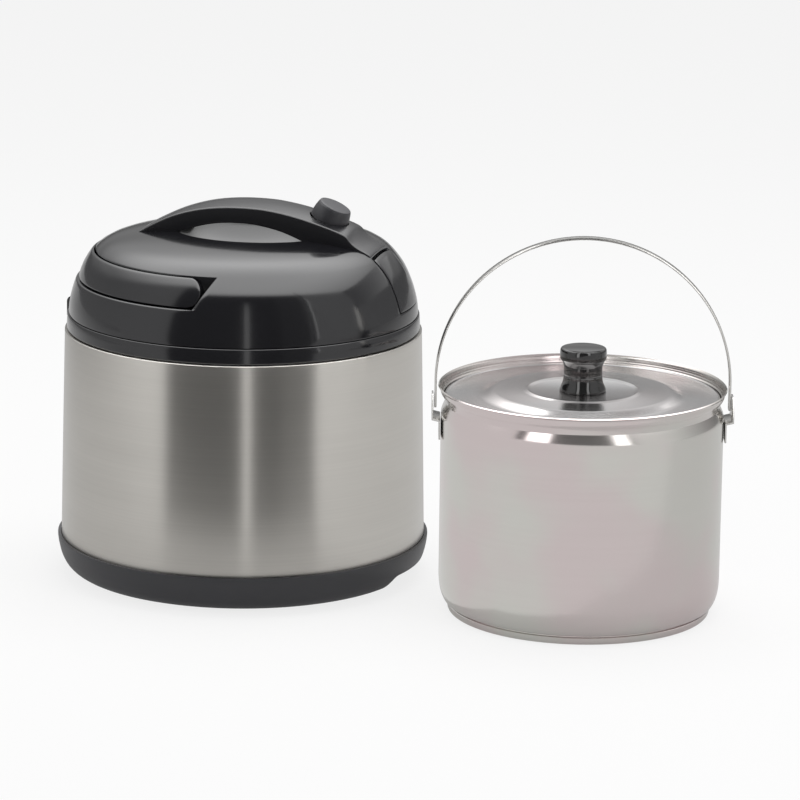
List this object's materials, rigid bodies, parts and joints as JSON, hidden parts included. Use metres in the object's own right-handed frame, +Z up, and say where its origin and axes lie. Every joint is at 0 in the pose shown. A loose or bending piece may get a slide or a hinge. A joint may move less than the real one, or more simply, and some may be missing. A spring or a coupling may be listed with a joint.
{
  "type": "thermal cooker",
  "caption": "Vacuum insulated thermal cooker with a hinged, latching lid and arched grip, beside its inner steel pot with a bail handle and knobbed lid.",
  "frame": {"origin": "on the floor under the middle of the whole set's bounding box", "axes": "+X from the container's hinge at the rear to its latch at the front and on towards the pot, +Y to the container's left side seen from behind it, +Z up"},
  "size_m": [0.4874, 0.263, 0.2703],
  "materials": {
    "gloss_black_plastic": "glossy moulded polypropylene",
    "matte_black_plastic": "fine satin moulded plastic",
    "brushed_steel": "satin stainless steel, brushed round the body",
    "polished_steel": "polished stainless steel",
    "zinc_plated_steel": "plain plated or stainless hardware",
    "black_rubber": "matt black rubber",
    "grey_silicone": "soft grey silicone",
    "white_foam": "rigid white insulating foam",
    "natural_nylon": "natural nylon"
  },
  "bodies": {
    "container": {"base_cover": "matte_black_plastic", "foot_pad_1": "black_rubber", "foot_pad_2": "black_rubber", "foot_pad_3": "black_rubber", "foot_pad_4": "black_rubber", "outer_shell": "brushed_steel", "inner_liner": "polished_steel", "vacuum_seal_cap": "zinc_plated_steel", "collar": "gloss_black_plastic", "hinge_pin": "zinc_plated_steel", "latch_keeper": "zinc_plated_steel"},
    "lid": {"lid_shell": "gloss_black_plastic", "lid_handle": "matte_black_plastic", "grip_screw_1": "zinc_plated_steel", "grip_screw_2": "zinc_plated_steel", "latch_cover": "gloss_black_plastic", "hinge_arm": "matte_black_plastic", "hinge_arm_screw_1": "zinc_plated_steel", "hinge_arm_screw_2": "zinc_plated_steel", "inner_cover": "matte_black_plastic", "inner_cover_screw_1": "zinc_plated_steel", "inner_cover_screw_2": "zinc_plated_steel", "inner_cover_screw_3": "zinc_plated_steel", "inner_cover_screw_4": "zinc_plated_steel", "lid_gasket": "grey_silicone", "lid_insulation": "white_foam", "carry_pin_left": "zinc_plated_steel", "carry_pin_right": "zinc_plated_steel", "latch_pin": "zinc_plated_steel", "button_spring": "zinc_plated_steel"},
    "carry_handle_arm": {"carry_handle": "gloss_black_plastic"},
    "button": {"release_button": "matte_black_plastic", "button_stem": "natural_nylon"},
    "latch": {"latch_hook": "zinc_plated_steel"},
    "pot": {"pot_shell": "polished_steel", "pot_base": "polished_steel", "ear_left": "polished_steel", "ear_right": "polished_steel"},
    "bail_handle": {"bail": "polished_steel"},
    "pot_cover": {"pot_lid": "polished_steel", "pot_lid_knob": "gloss_black_plastic", "knob_washer": "zinc_plated_steel", "knob_screw": "zinc_plated_steel"}
  },
  "joints": [
    {"name": "lid_hinge", "type": "hinge", "parent": "container", "child": "lid", "pos_m": [-0.23521, 0, 0.1882], "axis": [0, -1, 0], "range_deg": [0, 85]},
    {"name": "carry_handle_swing", "type": "hinge", "parent": "lid", "child": "carry_handle_arm", "pos_m": [-0.11721, 0, 0.22195], "axis": [0, 1, 0], "range_deg": [0, 90]},
    {"name": "button_press", "type": "slide", "parent": "lid", "child": "button", "axis": [-0.4226, 0, -0.9063], "range_m": [0, 0.004], "stiffness_N_per_m": 600},
    {"name": "latch_turn", "type": "hinge", "parent": "lid", "child": "latch", "pos_m": [0.00049, 0, 0.2], "axis": [0, 1, 0], "range_deg": [0, 5]},
    {"name": "pot_lift", "type": "slide", "parent": "container", "child": "pot", "axis": [0, 0, 1], "range_m": [0, 0.1]},
    {"name": "bail_swing", "type": "hinge", "parent": "pot", "child": "bail_handle", "pos_m": [0.14059, -0.0285, 0.1465], "axis": [0.9636, 0.2672, 0], "range_deg": [-90, 90]},
    {"name": "pot_lid_lift", "type": "slide", "parent": "pot", "child": "pot_cover", "axis": [0, 0, 1], "range_m": [0, 0.035]}
  ],
  "couplings": [
    {"joint": "latch_turn", "follows": "button_press", "rad_per_m": 21.807}
  ]
}
